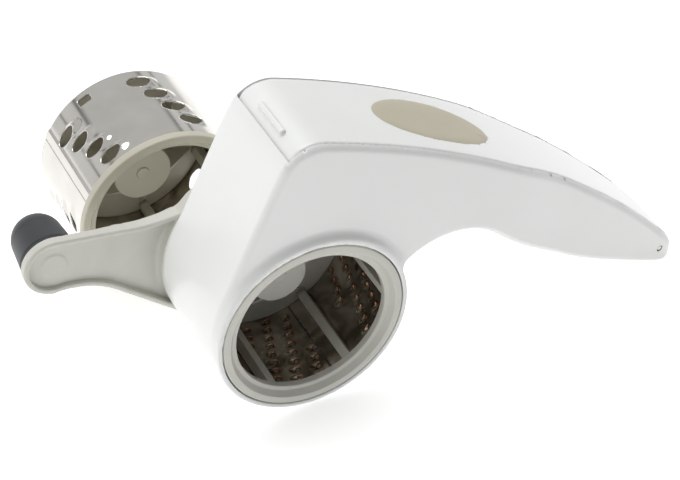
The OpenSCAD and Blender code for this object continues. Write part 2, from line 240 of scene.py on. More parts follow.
def zero_surface(field, low, high, cell):
    """The surface where field(x, y, z) is zero, as quads on a grid of cells with one point in each
    cell the surface crosses. With crossings p_k on the cell's edges and the field's directions n_k
    there, the point x is where the sum of (n_k . (x - p_k))^2 is least, so that it lies on an edge
    or corner of the surface if the cell holds one. Returns points, quads and corner normals."""
    ax = [np.arange(a - cell, b + 2 * cell, cell) for a, b in zip(low, high)]
    size = tuple(len(a) for a in ax)
    f = np.broadcast_to(field(ax[0][:, None, None], ax[1][None, :, None], ax[2][None, None, :]), size)
    inside = f < 0
    cells = tuple(n - 1 for n in size)
    origin = np.array([a[0] for a in ax])
    quads, owners, at_p, at_n = [], [], [], []
    for k in range(3):
        i, j = (k + 1) % 3, (k + 2) % 3
        here = tuple(slice(None, -1) if m == k else slice(None) for m in range(3))
        there = tuple(slice(1, None) if m == k else slice(None) for m in range(3))
        at = np.argwhere(inside[here] != inside[there])
        at = at[(at[:, i] > 0) & (at[:, j] > 0) & (at[:, i] < cells[i]) & (at[:, j] < cells[j])]
        ahead = at.copy()
        ahead[:, k] += 1
        f0, f1, t0, t1 = f[tuple(at.T)], f[tuple(ahead.T)], np.zeros(len(at)), np.ones(len(at))
        p = origin + cell * at
        for _ in range(4):    # rounds of false position along the edge
            t = t0 + (t1 - t0) * f0 / (f0 - f1)
            p[:, k] = origin[k] + cell * (at[:, k] + t)
            value = field(*p.T)
            low_side = (value < 0) == (f0 < 0)
            f0, t0 = np.where(low_side, value, f0), np.where(low_side, t, t0)
            f1, t1 = np.where(low_side, f1, value), np.where(low_side, t1, t)
            f0 = np.where(f0 == f1, f1 + 1e-9, f0)
        n = directions(slope_of(field, p))
        ring = np.repeat(at[:, None, :], 4, 1)
        ring[:, [0, 3], i] -= 1
        ring[:, [0, 1], j] -= 1
        for m in range(4):
            owners.append(np.ravel_multi_index(ring[:, m].T, cells))
            at_p.append(p)
            at_n.append(n)
        outward = inside[tuple(at.T)]
        ring[~outward] = ring[~outward][:, ::-1]
        quads.append(ring)
    p, n = np.concatenate(at_p), np.concatenate(at_n)
    used, owner = np.unique(np.concatenate(owners), return_inverse=True)

    def per_cell(values):
        return np.bincount(owner, values, len(used))
    mean = np.stack([per_cell(p[:, k]) for k in range(3)], -1) / per_cell(np.ones(len(p)))[:, None]
    off = ((p - mean[owner]) * n).sum(1)
    spread = np.stack([[per_cell(n[:, a] * n[:, b]) for b in range(3)] for a in range(3)])
    spread = spread.transpose(2, 0, 1)
    target = np.stack([per_cell(n[:, a] * off) for a in range(3)], -1)
    weight, basis = np.linalg.eigh(spread)
    inverse = np.where(weight > 0.1 * weight[:, 2:], 1 / np.maximum(weight, 1e-9), 0)
    move = (basis @ (inverse[..., None] * (basis.transpose(0, 2, 1) @ target[..., None])))[..., 0]
    middle = origin + cell * (np.stack(np.unravel_index(used, cells), -1) + 0.5)
    points = np.clip(mean + move, middle - 0.6 * cell, middle + 0.6 * cell)
    faces = np.searchsorted(used, np.ravel_multi_index(np.concatenate(quads).reshape(-1, 3).T, cells))
    faces = faces.reshape(-1, 4)
    # at a crease each face takes the direction of its own side; elsewhere all share the point's
    normals = directions(slope_of(field, points))[faces]
    creased = (weight[:, 2] < 0.93 * weight.sum(1))[faces]
    towards = 0.65 * points[faces] + 0.35 * points[faces].mean(1, keepdims=True)
    normals[creased] = directions(slope_of(field, towards[creased]))
    return points, faces, normals


def add_piece(name, points, faces, material, body, nodes, normals=None):
    """A mesh in the row's frame from points in millimetres about the drum's axis, riding on a body."""
    mesh = bpy.data.meshes.new(name)
    mesh.from_pydata((points * 0.001 + drum_axis).tolist(), [], [list(map(int, f)) for f in faces])
    mesh.update()
    mesh.shade_smooth()
    if normals is not None:
        mesh.normals_split_custom_set(normals.reshape(-1, 3).tolist())
    mesh.materials.append(material)
    made = bpy.data.objects.new(name, mesh)
    bpy.context.scene.collection.objects.link(made)
    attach(made, body)
    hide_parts(*nodes)
    return made


def colour(code):
    """An sRGB hex colour as linear red, green, blue and alpha: each channel c goes to c / 12.92
    up to 0.04045 and to ((c + 0.055) / 1.055)^2.4 above."""
    c = np.array([int(code[k:k + 2], 16) for k in (1, 3, 5)]) / 255
    linear = np.where(c <= 0.04045, c / 12.92, ((c + 0.055) / 1.055) ** 2.4)
    return (*linear.tolist(), 1.0)


def feed(tree, node, **links):
    """Links outputs to a node's inputs, each named with _ for a space or as _ and its number. A node
    given as a link stands for its first output."""
    for key, source in links.items():
        name = int(key[1:]) if key[1:].isdigit() else key.replace("_", " ")
        output = source.outputs[0] if isinstance(source, bpy.types.Node) else source
        tree.links.new(output, node.inputs[name])


def add_node(tree, kind, settings=None, **links):
    """Adds a node. settings holds its properties and the values of its inputs by name or number, and
    for a ramp its stops, each a place and a hex colour or a grey; links are fed as feed() does."""
    node = tree.nodes.new("ShaderNode" + kind)
    for key, value in (settings or {}).items():
        if key == "stops":
            stops = node.color_ramp.elements
            stops[0].position, stops[1].position = value[0][0], value[-1][0]
            for place, _ in value[1:-1]:
                stops.new(place)
            for stop, (_, shade) in zip(stops, value):
                stop.color = colour(shade) if isinstance(shade, str) else (shade, shade, shade, 1.0)
        elif isinstance(key, int) or key in node.inputs:
            node.inputs[key].default_value = value
        else:
            setattr(node, key, value)
    feed(tree, node, **links)
    return node


def add_material(name, settings):
    """A material with a Principled surface. Returns it, its node tree, its shader and the place on the
    object that its patterns read."""
    made = bpy.data.materials.new(name)
    made.use_nodes = True
    shader = made.node_tree.nodes["Principled BSDF"]
    for key, value in settings.items():
        shader.inputs[key].default_value = value
    return made, made.node_tree, shader, add_node(made.node_tree, "TexCoord").outputs["Object"]


# Injection-moulded ABS in white. The mould is polished, so the skin is glossy with a faint
# orange-peel of about 2.5 mm and a slow unevenness in its gloss from handling.
white_abs, tree, shader, place = add_material("white_abs_moulded", {
    "Roughness": 0.3, "IOR": 1.53, "Coat Weight": 0.15, "Coat Roughness": 0.12})
peel = add_node(tree, "TexNoise", {"Scale": 400, "Detail": 2.0}, Vector=place)
handled = add_node(tree, "TexNoise", {"Scale": 28, "Detail": 4.0}, Vector=place)
tint = add_node(tree, "ValToRGB", {"stops": [(0, "#eaecea"), (1, "#f3f4f2")]}, Fac=handled)
gloss = add_node(tree, "MapRange", {"To Min": 0.24, "To Max": 0.38}, Value=handled)
relief = add_node(tree, "Bump", {"Strength": 0.05, "Distance": 0.0004}, Height=peel)
feed(tree, shader, Base_Color=tint, Roughness=gloss, Normal=relief)

points, faces, normals = zero_surface(body_field, (-37, -0.5, -37), (159, 48.5, 75), 0.95)
add_piece("body_shell_moulding", points, faces, white_abs, "body", ["body_shell"], normals)

# ---- Hinge pin ----
# A turned steel pin pressed through both ears, with its ends chamfered and a little below the face.
pin_r = 1.0
pin_half_l = float(pin_hi.y - pin_lo.y) * 500


def lathe(profile, count, centre=(0.0, 0.0, 0.0), closed=True):
    """A profile of (radius, y) points turned about an axis along y: point k of the profile at turn a
    is centre + (radius cos a, y, radius sin a). A closed profile is a ring; an open one starts and
    ends on the axis, where its end is one pole."""
    profile = np.asarray(profile, float)
    turn = np.linspace(0, 2 * np.pi, count, endpoint=False)
    body = profile if closed else profile[1:-1]
    p = np.stack([np.outer(np.cos(turn), body[:, 0]), np.tile(body[:, 1], (count, 1)),
                  np.outer(np.sin(turn), body[:, 0])], -1).reshape(-1, 3)
    n = len(body)
    row, col = np.meshgrid(np.arange(count), np.arange(n if closed else n - 1), indexing="ij")
    a = row * n + col
    b = row * n + (col + 1) % n
    c = ((row + 1) % count) * n + (col + 1) % n
    d = ((row + 1) % count) * n + col
    faces = [*np.stack([a, b, c, d], -1).reshape(-1, 4).tolist()]
    if not closed:
        first, last = len(p), len(p) + 1
        p = np.vstack([p, [0, profile[0, 1], 0], [0, profile[-1, 1], 0]])
        r = np.arange(count)
        faces += np.stack([np.full(count, first), r * n, ((r + 1) % count) * n], -1).tolist()
        faces += np.stack([np.full(count, last), ((r + 1) % count) * n + n - 1, r * n + n - 1], -1).tolist()
    return p + np.asarray(centre, float), faces


def rounded(corners, radii, steps=4):
    """A closed outline with its corners rounded: each corner becomes an arc of its radius, tangent
    to both sides, in steps parts."""
    corners = np.asarray(corners, float)
    out = []
    for k, r in enumerate(radii):
        here, before, after = corners[k], corners[k - 1], corners[(k + 1) % len(corners)]
        if r == 0:
            out.append(here)
            continue
        u, v = unit(before - here), unit(after - here)
        half = math.acos(float(np.clip(u @ v, -1, 1))) / 2
        centre = here + unit(u + v) * r / math.sin(half)
        a0, a1 = math.atan2(*(here + u * r / math.tan(half) - centre)[::-1]), math.atan2(
            *(here + v * r / math.tan(half) - centre)[::-1])
        turn = (a1 - a0 + math.pi) % (2 * math.pi) - math.pi
        a = a0 + turn * np.linspace(0, 1, steps + 1)
        out.extend(centre + r * np.stack([np.cos(a), np.sin(a)], -1))
    return np.array(out)


def flatten_shading(made):
    """Weights the normals by face area, so that flats stay flat beside small rounded edges."""
    weigh = made.modifiers.new("weigh", "WEIGHTED_NORMAL")
    weigh.keep_sharp = True
    return made


# Turned stainless steel: fine rings round the axis and a dull shine.
pin_steel, tree, shader, place = add_material("turned_stainless_steel", {
    "Base Color": colour("#c9c5bc"), "Metallic": 1.0, "Roughness": 0.28})
rings = add_node(tree, "TexNoise", {"Scale": 900, "Detail": 2.0}, Vector=place)
relief = add_node(tree, "Bump", {"Strength": 0.15, "Distance": 0.0001}, Height=rings)
dull = add_node(tree, "MapRange", {"To Min": 0.2, "To Max": 0.36}, Value=rings)
feed(tree, shader, Normal=relief, Roughness=dull)

profile = [(0, -pin_half_l), (pin_r - 0.25, -pin_half_l), (pin_r - 0.08, -pin_half_l + 0.07),
           (pin_r, -pin_half_l + 0.25), (pin_r, pin_half_l - 0.25), (pin_r - 0.08, pin_half_l - 0.07),
           (pin_r - 0.25, pin_half_l), (0, pin_half_l)]
points, faces = lathe(profile, 32, pin_at, closed=False)
flatten_shading(add_piece("hinge_pin_turned", points, faces, pin_steel, "body", ["hinge_pin"]))

# ---- Lid ----
# The lid is a second white ABS moulding, a curved strip with a stiffening skirt, a hinge barrel at
# the handle's tip and a low thumb bar at the hopper's front edge.
skirt_depth, skirt_t, skirt_in = 6.0, 1.4, 1.5
pad_x, pad_half_l, pad_half_w = 55.5, 22.0, 12.5
pad_depth = 1.0
beside_r = 9.0            # room for the body's ears beside the barrel
thumb_at, thumb_half, thumb_lean = np.array([-3.9, 72.9]), (1.0, 9.0, 1.5), 8.0


def pad_oval(x, y):
    """Distance from the pad's oval in plan, positive outside, from (u, v) = 1 divided by its slope."""
    u, v = (x - pad_x) / pad_half_l, (y - mid_y) / pad_half_w
    size = np.hypot(u, v) + 1e-6
    return (size - 1) * size / np.hypot(u / pad_half_l, v / pad_half_w).clip(1e-4)


def lid_field(x, y, z):
    """Distance from the lid: a strip under the body's outline, joined to its skirt, barrel and thumb
    bar by fillets, less the pad's recess and the room beside the barrel."""
    side, plan = side_distance(x, z), plan_distance(x, y)
    back, from_pin = about(back_c, x, z) - back_r, about(hinge, x, z)
    upper = common(past_hinge(x, z), -(back + seat_reach))
    edge = cut(plan + wall + lid_gap, from_pin - lid_front_r, 1.2)
    strip = common(cut(side, edge, 1.1), -(side + lid_t), upper)
    outer = plan + wall + lid_gap + skirt_in
    skirt = common(side + 1, -(side + skirt_depth), outer, -(outer + skirt_t),
                   from_pin - partition_r + 2, upper)
    aside = np.abs(y - mid_y) - knuckle_half_l
    barrel = cut(from_pin - knuckle_r, aside, 0.5)
    lean = math.radians(thumb_lean)
    u = (x - thumb_at[0]) * math.cos(lean) + (z - thumb_at[1]) * math.sin(lean)
    v = -(x - thumb_at[0]) * math.sin(lean) + (z - thumb_at[1]) * math.cos(lean)
    thumb = cut(cut(np.abs(u) - thumb_half[0], np.abs(v) - thumb_half[2], 0.7),
                np.abs(y - mid_y) - thumb_half[1], 0.7)
    whole = join(join(strip, skirt, 0.5), join(barrel, thumb, 0.4), 0.5)
    recess = common(pad_oval(x, y), -(back + pad_depth))
    beside = common(from_pin - beside_r, -aside)
    return common(cut(whole, -recess, 0.15), -beside)


points, faces, normals = zero_surface(lid_field, (-9, 2, -35), (157, 46, 76), 0.8)
add_piece("lid_moulding", points, faces, white_abs, "lid", ["lid_shell"], normals)

# ---- Grip pad ----
# A soft oval inlay of beige TPE, moulded into the lid where the thumb presses, slightly crowned.
pad_rise = 0.4
nub_at, nub_r = (74.0, 21.0), 1.2


def crowned_oval(rings, spokes):
    """A closed oval pad on rings and spokes: (rho, phi) goes to x = pad_x + half length rho cos phi,
    y = mid_y + half width rho sin phi, on the handle's back arc raised by a crown that falls off
    as rho^10, then down the side and under."""
    rho = np.concatenate([np.sin(np.linspace(0, np.pi / 2, rings))[1:], [1.0, 1.0]])
    lift = pad_rise * (1 - rho**10) + 0.02
    lift[-2:] = (-0.4, -1.0)
    phi = np.linspace(0, 2 * np.pi, spokes, endpoint=False)
    x = pad_x + pad_half_l * np.outer(rho, np.cos(phi))
    y = mid_y + pad_half_w * np.outer(rho, np.sin(phi))
    nub = 0.35 * np.exp(-((x - nub_at[0]) ** 2 + (y - nub_at[1]) ** 2) / nub_r**2)
    z = back_c[1] + np.sqrt((back_r + lift[:, None] + nub) ** 2 - (x - back_c[0]) ** 2)
    p = np.stack([x, y, z], -1).reshape(-1, 3)
    top = [pad_x, mid_y, back_c[1] + math.sqrt((back_r + pad_rise) ** 2 - (pad_x - back_c[0]) ** 2)]
    low = [pad_x, mid_y, top[2] - pad_rise - 1.0]
    n = len(rho)
    row, col = np.meshgrid(np.arange(n - 1), np.arange(spokes), indexing="ij")
    a, b = row * spokes + col, row * spokes + (col + 1) % spokes
    faces = np.stack([a, a + spokes, b + spokes, b], -1).reshape(-1, 4).tolist()
    s = np.arange(spokes)
    faces += np.stack([np.full(spokes, len(p)), s, (s + 1) % spokes], -1).tolist()
    last = (n - 1) * spokes
    faces += np.stack([np.full(spokes, len(p) + 1), last + (s + 1) % spokes, last + s], -1).tolist()
    return np.vstack([p, top, low]), faces


# Thermoplastic elastomer with a spark-eroded skin: matt, with a fine grain drawn at 0.5 mm.
pad_tpe, tree, shader, place = add_material("beige_soft_touch_tpe", {
    "Roughness": 0.62, "IOR": 1.5, "Sheen Weight": 0.12, "Sheen Roughness": 0.5})
grain = add_node(tree, "TexNoise", {"Scale": 2000, "Detail": 3.0}, Vector=place)
patches = add_node(tree, "TexNoise", {"Scale": 60, "Detail": 3.0}, Vector=place)
tint = add_node(tree, "ValToRGB", {"stops": [(0, "#b9b19c"), (1, "#c5beaa")]}, Fac=patches)
relief = add_node(tree, "Bump", {"Strength": 0.3, "Distance": 0.0001}, Height=grain)
feed(tree, shader, Base_Color=tint, Normal=relief)

points, faces = crowned_oval(24, 96)
add_piece("grip_pad_inlay", points, faces, pad_tpe, "lid", ["grip_pad"])

# ---- Pusher block ----
# The white block under the lid that presses the cheese on to the drum: a thin-walled box whose foot
# follows the drum and whose front and back follow circles about the hinge pin.
pusher_half_w, pusher_t = 19.2, 1.8
pusher_r = (partition_r + wall + 0.6, 182.8)


def pusher_field(x, y, z):
    """Distance from the pusher: a rounded box between two circles about the pin and the drum's
    circle, less the same shape drawn in by its wall, open under the lid."""
    side, from_pin, r = side_distance(x, z), about(hinge, x, z), np.hypot(x, z)
    aside = np.abs(y - mid_y) - pusher_half_w
    ends = common(from_pin - pusher_r[1], pusher_r[0] - from_pin)
    box = cut(cut(ends, aside, 1.2), common(side + lid_t, housing_r - r), 0.8)
    inner = cut(cut(ends + pusher_t, aside + pusher_t, 0.8), housing_r + pusher_t - r, 0.6)
    return common(box, -inner)


points, faces, normals = zero_surface(pusher_field, (-36, 3, 8), (45, 45, 70), 1.0)
add_piece("pusher_block_moulding", points, faces, white_abs, "lid", ["pusher_block"], normals)

# ---- Crank arm ----
# One warm light grey moulding: a hollow hub as wide as the housing and an arm with a round end,
# shaped as a shallow channel with a raised rim that faces the grater's front.
crank_len, crank_angle = 75.4, 168.0
crank_end_r, crank_hub_r = 11.0, 35.6
crank_y, crank_back = 49.0, 54.0
crank_t, crank_floor, crank_rim = 3.6, 2.0, 1.9
hub_mid_y, hub_half_l = 51.3, 2.7
collar_mid_y, collar_half_l, collar_gap = 47.85, 1.75, 0.3
top_c, top_r = np.array([54.0, -72.7]), 60.0
waist_r = 30.0
boss_r, boss_rise, boss_slope = 4.7, 0.3, 0.18
hub_r = 10.4
low_n = np.array([math.cos(math.radians(62)), math.sin(math.radians(62))])
low_t = np.array([low_n[1], -low_n[0]])
arm_end = np.array([crank_len, 0.0])
low_c = ((crank_hub_r + waist_r) * low_n
         + (arm_end @ low_t - math.sqrt((waist_r + crank_end_r) ** 2
                                        - (crank_hub_r + waist_r - low_n @ arm_end) ** 2)) * low_t)
crank_cos, crank_sin = math.cos(math.radians(crank_angle)), math.sin(math.radians(crank_angle))


def arm_distance(u, v):
    """Distance from the arm's outline, with u along the arm: a web between two hollow curves that
    run into the round end and, as a straight, into the hub."""
    along, off = u * low_t[0] + v * low_t[1], u * low_n[0] + v * low_n[1]
    low = np.where(along < low_c @ low_t, off - crank_hub_r, waist_r - np.hypot(u - low_c[0], v - low_c[1]))
    top = np.where(u < top_c[0], top_r - np.hypot(u - top_c[0], v - top_c[1]),
                   -(v - top_c[1] - top_r - 0.078 * (u - top_c[0])))
    web = common(low, top, u - crank_len, 12 - u)
    return np.minimum(web, np.hypot(u - crank_len, v) - crank_end_r)


def crank_field(x, y, z):
    """Distance from the crank: the arm between its rim and a back that slopes to the hub, joined to
    the hub and its locating ring, less the channel and the hub's hollow. The channel's floor rises
    a little over the knob's axle, as 1 / (1 + e^t) with t the way out from the rise's edge."""
    u, v = x * crank_cos + z * crank_sin, -x * crank_sin + z * crank_cos
    r = np.hypot(x, z)
    arm = arm_distance(u, v)
    down = np.clip((u - crank_hub_r) / (crank_len - crank_end_r - crank_hub_r), 0, 1)
    rear = crank_back + (crank_y + crank_t - crank_back) * down
    solid = cut(arm, common(crank_y - y, y - rear), 0.7)
    hub = cut(r - crank_hub_r, np.abs(y - hub_mid_y) - hub_half_l, 0.8)
    collar = cut(r - bore_r + collar_gap, np.abs(y - collar_mid_y) - collar_half_l, 0.5)
    boss = boss_rise / (1 + np.exp((np.hypot(u - crank_len, v) - boss_r).clip(-9, 9) / boss_slope))
    channel = common(arm + crank_rim, y - rear + crank_floor + boss)
    channel = common(cut(channel, crank_hub_r - r, 1.5), 44 - y)
    cup = common(r - bore_r + collar_gap + wall, y - crank_back + crank_floor, hub_r - r)
    whole = join(join(solid, hub, 1.0), collar, 0.3)
    return cut(cut(whole, -channel, 0.55), -cup, 0.5)


# Moulded polypropylene in warm light grey, satin: a fine texture of about 0.6 mm and faint flow
# marks that shift its tone a little.
grey_pp, tree, shader, place = add_material("warm_grey_polypropylene", {"Roughness": 0.42, "IOR": 1.49})
fine = add_node(tree, "TexNoise", {"Scale": 1600, "Detail": 3.0}, Vector=place)
flow = add_node(tree, "TexNoise", {"Scale": 45, "Detail": 3.0, "Distortion": 1.5}, Vector=place)
tint = add_node(tree, "ValToRGB", {"stops": [(0, "#c9c8bf"), (1, "#d5d4cc")]}, Fac=flow)
satin = add_node(tree, "MapRange", {"To Min": 0.36, "To Max": 0.5}, Value=flow)
relief = add_node(tree, "Bump", {"Strength": 0.12, "Distance": 0.0001}, Height=fine)
feed(tree, shader, Base_Color=tint, Roughness=satin, Normal=relief)

points, faces, normals = zero_surface(crank_field, (-88, 45, -37), (37, 55, 37), 0.75)
add_piece("crank_arm_moulding", points, faces, grey_pp, "crank", ["crank_arm"], normals)

# ---- Crank spigot ----
# The square drive at the hub's middle, of the same grey moulding, that enters the drum's socket.
drive_half = 4.5
spigot_lo, spigot_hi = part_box("crank_spigot")
spigot_y = [float(end.y) * 1000 - drum_axis[1] * 1000 for end in (spigot_lo, spigot_hi)]
root_r = 6.8
root_y = 46.0


def spigot_field(x, y, z):
    """Distance from the drive: a square bar with rounded edges joined to a round root."""
    square = cut(np.abs(x) - drive_half, np.abs(z) - drive_half, 0.6)
    bar = cut(square, common(spigot_y[0] - y, y - spigot_y[1]), 0.5)
    root = cut(np.hypot(x, z) - root_r, common(root_y - y, y - spigot_y[1]), 0.3)
    return join(bar, root, 0.6)


points, faces, normals = zero_surface(spigot_field, (-8, spigot_y[0], -8), (8, spigot_y[1], 8), 0.6)
add_piece("crank_spigot_drive", points, faces, grey_pp, "crank", ["crank_spigot"], normals)

# ---- Knob ----
# A tapered knob that turns on a steel axle: a dark plastic core under a soft black cover with a dome.
knob_r, dome_r, knob_len, soft_t = 10.6, 9.4, 22.0, 1.4
knob_y = crank_y + crank_t + 0.3
knob_at = (crank_len * crank_cos, knob_y, crank_len * crank_sin)
axle_r, axle_l, axle_head_r = 2.5, 14.0, 3.4


def knob_profile(inset, from_y):
    """Half outline of the knob drawn in by inset, from its foot at from_y up a straight taper and
    over a dome, a quarter circle, to the axis."""
    a = np.linspace(0, np.pi / 2, 20)
    dome = np.stack([(dome_r - inset) * np.cos(a), knob_len - dome_r + (dome_r - inset) * np.sin(a)], -1)
    taper = np.linspace(0.06, 0.97, 12)[:, None]
    foot = np.array([knob_r - inset, from_y])
    return foot, np.vstack([foot * (1 - taper) + dome[0] * taper, dome])


foot, rise = knob_profile(0, 0.0)
inner_foot, inner_rise = knob_profile(soft_t, 0.0)
# the foot's bead and the thin groove above it, as (inward, up) from the foot's edge
bead = np.array([(0.5, 0), (0.15, 0.1), (0, 0.35), (0.04, 0.75), (0.2, 0.95), (0.5, 1.05), (0.45, 1.2),
                 (0.2, 1.4)])
shell = np.vstack([[inner_foot[0], 0.05], [foot[0], 0] + bead * [-1, 1], rise[1:]])
profile = np.vstack([[0, inner_rise[-1][1]], inner_rise[::-1][1:], shell[:-1], [0, knob_len]])

# Black soft-touch elastomer: matt and slightly sheeny, with dust-fine speckle drawn at 0.7 mm.
knob_soft, tree, shader, place = add_material("black_soft_touch_elastomer", {
    "Roughness": 0.62, "IOR": 1.5, "Sheen Weight": 0.25, "Sheen Roughness": 0.45})
speck = add_node(tree, "TexNoise", {"Scale": 1400, "Detail": 4.0}, Vector=place)
wear = add_node(tree, "TexNoise", {"Scale": 90, "Detail": 5.0}, Vector=place)
tint = add_node(tree, "ValToRGB", {"stops": [(0, "#23262a"), (1, "#34383d")]}, Fac=wear)
relief = add_node(tree, "Bump", {"Strength": 0.35, "Distance": 0.00012}, Height=speck)
feed(tree, shader, Base_Color=tint, Normal=relief)

points, faces = lathe(profile, 96, knob_at, closed=False)
add_piece("knob_grip_cover", points, faces, knob_soft, "knob", ["knob_grip"])

# The core and the axle's head are hidden in the cover; only the core's foot ring shows.
knob_hard, tree, shader, place = add_material("dark_grey_abs", {"Roughness": 0.4, "IOR": 1.53})
speck = add_node(tree, "TexNoise", {"Scale": 500, "Detail": 2.0}, Vector=place)
tint = add_node(tree, "ValToRGB", {"stops": [(0, "#2c2d30"), (1, "#38393c")]}, Fac=speck)
feed(tree, shader, Base_Color=tint)
core = [(axle_r + 0.06, 0), (inner_foot[0] - 0.3, 0), (inner_foot[0] - 0.05, 0.3),
        *((inner_rise[:-1] - [0.05, 0.05]).tolist()), (0.6, inner_rise[-1][1] - 0.1),
        (0.6, axle_l + 2.2), (axle_head_r + 0.4, axle_l + 2.2), (axle_head_r + 0.4, axle_l - 0.2),
        (axle_r + 0.06, axle_l - 0.2)]
points, faces = lathe(core[::-1], 96, knob_at)
flatten_shading(add_piece("knob_core_moulding", points, faces, knob_hard, "knob",
                          ["knob_core"]))
axle_foot, axle_top = crank_y + 1.7 - knob_y, axle_l + 1.5
axle = [(0, axle_foot), (axle_r, axle_foot), (axle_r, axle_l), (axle_head_r - 0.3, axle_l),
        (axle_head_r, axle_l + 0.3), (axle_head_r, axle_top - 0.3), (axle_head_r - 0.3, axle_top),
        (0, axle_top)]
points, faces = lathe(axle, 48, knob_at, closed=False)
flatten_shading(add_piece("knob_axle_turned", points, faces, pin_steel, "crank",
                          ["knob_axle"]))

# ---- Drum cages ----
# Each drum is held by a moulded cage: a front ring with a bevelled inner step and six flat struts
# that run back inside the steel sheet.
ring_r, ring_hole_r = 33.8, 28.0
sheet_r, sheet_t = 32.9, 0.5
drum_len, seat_y, plate_t = 45.5, 3.2, 2.0
lip_y = 2.2
strut_w, strut_a, strut_count = 3.4, -58.5, 6
spare_lo, spare_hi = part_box("slicing_cage")
spare_mouth = np.array([(spare_lo.x + spare_hi.x) / 2, spare_lo.y, (spare_lo.z + spare_hi.z) / 2])
spare_at = 1000 * (spare_mouth - drum_axis)


def bar_along(section, stations):
    """A closed section of (radial, tangential) points carried along y: at each station (y, shift,
    scale) it is moved outward by shift and scaled in width. The ends are closed by a fan face."""
    section = np.asarray(section, float)
    n = len(section)
    p = np.concatenate([np.stack([section[:, 0] + s, np.full(n, y), section[:, 1] * k], -1)
                        for y, s, k in stations])
    row, col = np.meshgrid(np.arange(len(stations) - 1), np.arange(n), indexing="ij")
    a, b = row * n + col, row * n + (col + 1) % n
    faces = np.stack([a, a + n, b + n, b], -1).reshape(-1, 4).tolist()
    faces += [list(range(n)), list(range(len(p) - 1, len(p) - 1 - n, -1))]
    return p, faces


def spun(p, degrees):
    """Points turned about the drum's axis, from +x towards +z."""
    a = np.radians(degrees)
    return np.stack([p[:, 0] * np.cos(a) - p[:, 2] * np.sin(a), p[:, 1],
                     p[:, 0] * np.sin(a) + p[:, 2] * np.cos(a)], -1)


def merged(parts):
    """Several (points, faces) as one."""
    points, faces, start = [], [], 0
    for p, f in parts:
        points.append(p)
        faces += [[start + int(k) for k in face] for face in f]
        start += len(p)
    return np.vstack(points), faces


def outward(made):
    """Recalculates the normals of a closed mesh so that its faces point outwards."""
    b = bmesh.new()
    b.from_mesh(made.data)
    bmesh.ops.recalc_face_normals(b, faces=b.faces)
    b.to_mesh(made.data)
    b.free()
    return made


def cage_parts(turn):
    """The ring's section turned about the axis, and the struts with a flared root at the ring."""
    inside_r = sheet_r - sheet_t
    outline = rounded([(ring_hole_r, lip_y), (ring_hole_r + 1.6, lip_y), (ring_hole_r + 3.1, 0),
                       (ring_r, 0), (ring_r, seat_y), (inside_r, seat_y), (inside_r, seat_y + 1.8),
                       (ring_hole_r, seat_y + 1.8)], [0.5, 0.5, 0.5, 0.6, 0.2, 0.1, 0.2, 0.4])
    inner, outer, half = ring_hole_r + 0.4, inside_r - 0.15, strut_w / 2
    section = rounded([(inner, -half), (outer, -half), (outer, half), (inner, half)], [0.4, 0.15, 0.15, 0.4])
    stations = [(lip_y + 0.2, -0.25, 1.35), (lip_y + 0.9, -0.2, 1.2), (lip_y + 2, -0.05, 1.06),
                (lip_y + 4, 0, 1), (drum_len - plate_t - 2, 0, 1), (drum_len - plate_t, 0, 1)]
    strut = bar_along(section, stations)
    struts = [(spun(strut[0], turn + k * 360 / strut_count), strut[1]) for k in range(strut_count)]
    return [lathe(outline[::-1], 192), *struts]


# The spare drum is of the same polypropylene in a slightly yellower grey.
beige_pp = grey_pp.copy()
beige_pp.name = "beige_grey_polypropylene"
tint = next(node for node in beige_pp.node_tree.nodes if node.type == "VALTORGB")
for stop, shade in zip(tint.color_ramp.elements, ("#bdb9a8", "#cac6b6")):
    stop.color = colour(shade)
# name, body, mouth, plastic, slot, angle of the first strut, and the hub disc's radius and place
drums = [("rasp", "rasp_drum", np.zeros(3), grey_pp, "grey_plastic", strut_a, hub_r, 28.0),
         ("slicing", "spare_drum", spare_at, beige_pp, "beige_plastic", strut_a - 21.0, 11.3, 26.3)]
for kind, body, at, material, slot, turn, _, _ in drums:
    points, faces = merged(cage_parts(turn))
    flatten_shading(outward(add_piece(kind + "_cage_moulding", points + at, faces, material, body,
                                      [kind + "_cage"])))

# ---- Drum carriers ----
# Behind the cage sits a back plate with a hub that holds the square drive, and thin ribs that tie
# the hub to the plate, all of the cage's plastic; a flat disc closes the hub's front.
cap_t, rib_t = 1.5, 1.2
rib_cos = 0.78            # about the cosine of the ribs' slope
dot_r = 2.4
socket_half, socket_floor = 4.75, 1.5


def carrier_field(turn, hub_r, hub_y):
    """The distance from a carrier whose ribs start at turn degrees: the plate and hub as turned
    shapes and the ribs as thin wedges, joined by fillets, less the square socket."""
    front = hub_y + cap_t

    def field(x, y, z):
        r = np.hypot(x, z)
        plate = cut(r - (sheet_r - sheet_t - 0.05), np.abs(y - drum_len + plate_t / 2) - plate_t / 2, 0.4)
        hub = cut(r - hub_r + 0.3, common(front - y, y - drum_len), 0.4)
        off = np.mod(np.degrees(np.arctan2(z, x)) - turn + 180 / strut_count, 360 / strut_count)
        across = np.abs(r * np.sin(np.radians(off - 180 / strut_count))) - rib_t / 2
        slant = front + (drum_len - plate_t - front) * (r - hub_r) / (ring_hole_r - hub_r)
        rib = common(across, (slant - y) * rib_cos, y - drum_len + 1, hub_r - 1 - r, r - ring_hole_r - 0.5)
        solid = join(join(plate, hub, 1.0), rib, 0.6)
        socket = common(np.maximum(np.abs(x), np.abs(z)) - socket_half, front + socket_floor - y)
        return common(solid, -socket)
    return field


